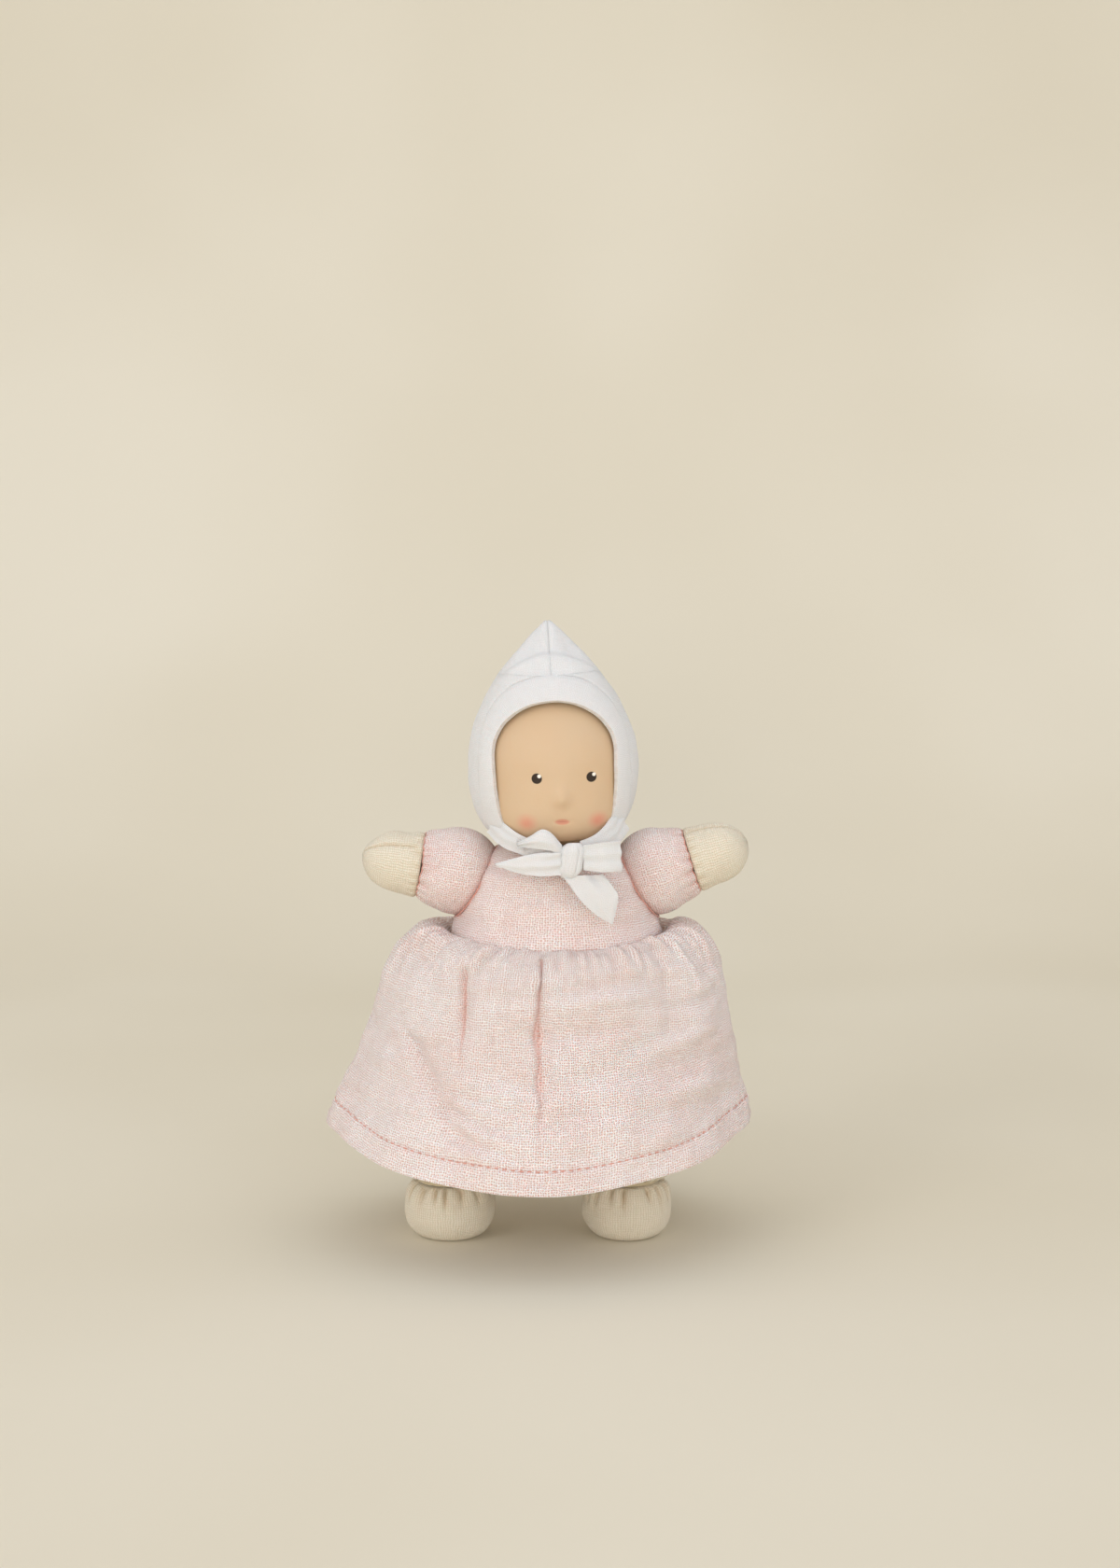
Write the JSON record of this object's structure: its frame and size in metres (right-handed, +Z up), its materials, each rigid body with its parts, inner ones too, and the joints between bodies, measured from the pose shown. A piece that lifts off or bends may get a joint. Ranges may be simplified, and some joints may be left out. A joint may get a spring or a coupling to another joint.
{
  "type": "baby doll",
  "caption": "Small stuffed cloth baby doll with a moulded rubber head, pointed tie-on bonnet, gathered dress, mitten hands and ball feet; the head, arms and legs turn.",
  "frame": {"origin": "middle of the bounding box's underside, on the floor between the soles", "axes": "+Z up through the doll, -Y the way that it faces, +X towards its own left hand"},
  "size_m": [0.137, 0.1168, 0.1994],
  "materials": {
    "rubber_skin": "matte moulded rubber with a painted face",
    "white_cotton": "plain woven white cotton",
    "pink_gauze": "pale pink double gauze",
    "cream_cotton": "undyed cream cotton",
    "wool": "loose wool",
    "thread": "cotton sewing thread"
  },
  "bodies": {
    "torso": {"bodice_front": "pink_gauze", "bodice_back": "pink_gauze", "seat_cover": "cream_cotton", "torso_filling": "wool", "skirt": "pink_gauze"},
    "neck": {"neck_cover": "pink_gauze", "neck_thread": "thread"},
    "head": {"head_shell": "rubber_skin", "head_filling": "wool", "bonnet_left_panel": "white_cotton", "bonnet_right_panel": "white_cotton", "bonnet_brim": "white_cotton", "left_tie": "white_cotton", "right_tie": "white_cotton", "bow_knot": "white_cotton", "bow_left_loop": "white_cotton", "bow_right_loop": "white_cotton", "bow_left_tail": "white_cotton", "bow_right_tail": "white_cotton"},
    "left_arm": {"left_sleeve": "pink_gauze", "left_hand": "cream_cotton", "left_arm_filling": "wool"},
    "left_leg": {"left_leg_cover": "cream_cotton", "left_ankle_thread": "thread", "left_foot_cover": "cream_cotton", "left_leg_filling": "wool"},
    "right_arm": {"right_sleeve": "pink_gauze", "right_hand": "cream_cotton", "right_arm_filling": "wool"},
    "right_leg": {"right_leg_cover": "cream_cotton", "right_ankle_thread": "thread", "right_foot_cover": "cream_cotton", "right_leg_filling": "wool"}
  },
  "joints": [
    {"name": "head_nod", "type": "hinge", "parent": "torso", "child": "neck", "pos_m": [0.006, 0, 0.1235], "axis": [1, 0, 0], "range_deg": [-11, 2], "stiffness_Nm_per_rad": 0.1},
    {"name": "head_turn", "type": "hinge", "parent": "neck", "child": "head", "pos_m": [0.006, 0, 0.1235], "axis": [-0.0384, 0, 0.9993], "range_deg": [-20, 20], "stiffness_Nm_per_rad": 0.02},
    {"name": "left_arm_raise", "type": "hinge", "parent": "torso", "child": "left_arm", "pos_m": [0.0375, 0, 0.1192], "axis": [0, -1, 0], "range_deg": [-25, 40], "stiffness_Nm_per_rad": 0.02},
    {"name": "right_arm_raise", "type": "hinge", "parent": "torso", "child": "right_arm", "pos_m": [-0.0255, 0, 0.1192], "axis": [0, 1, 0], "range_deg": [-20, 45], "stiffness_Nm_per_rad": 0.02},
    {"name": "left_leg_swing", "type": "hinge", "parent": "torso", "child": "left_leg", "pos_m": [0.023, 0, 0.06], "axis": [-1, 0, 0], "range_deg": [-40, 40], "stiffness_Nm_per_rad": 0.15},
    {"name": "right_leg_swing", "type": "hinge", "parent": "torso", "child": "right_leg", "pos_m": [-0.011, 0, 0.06], "axis": [-1, 0, 0], "range_deg": [-40, 40], "stiffness_Nm_per_rad": 0.15}
  ]
}
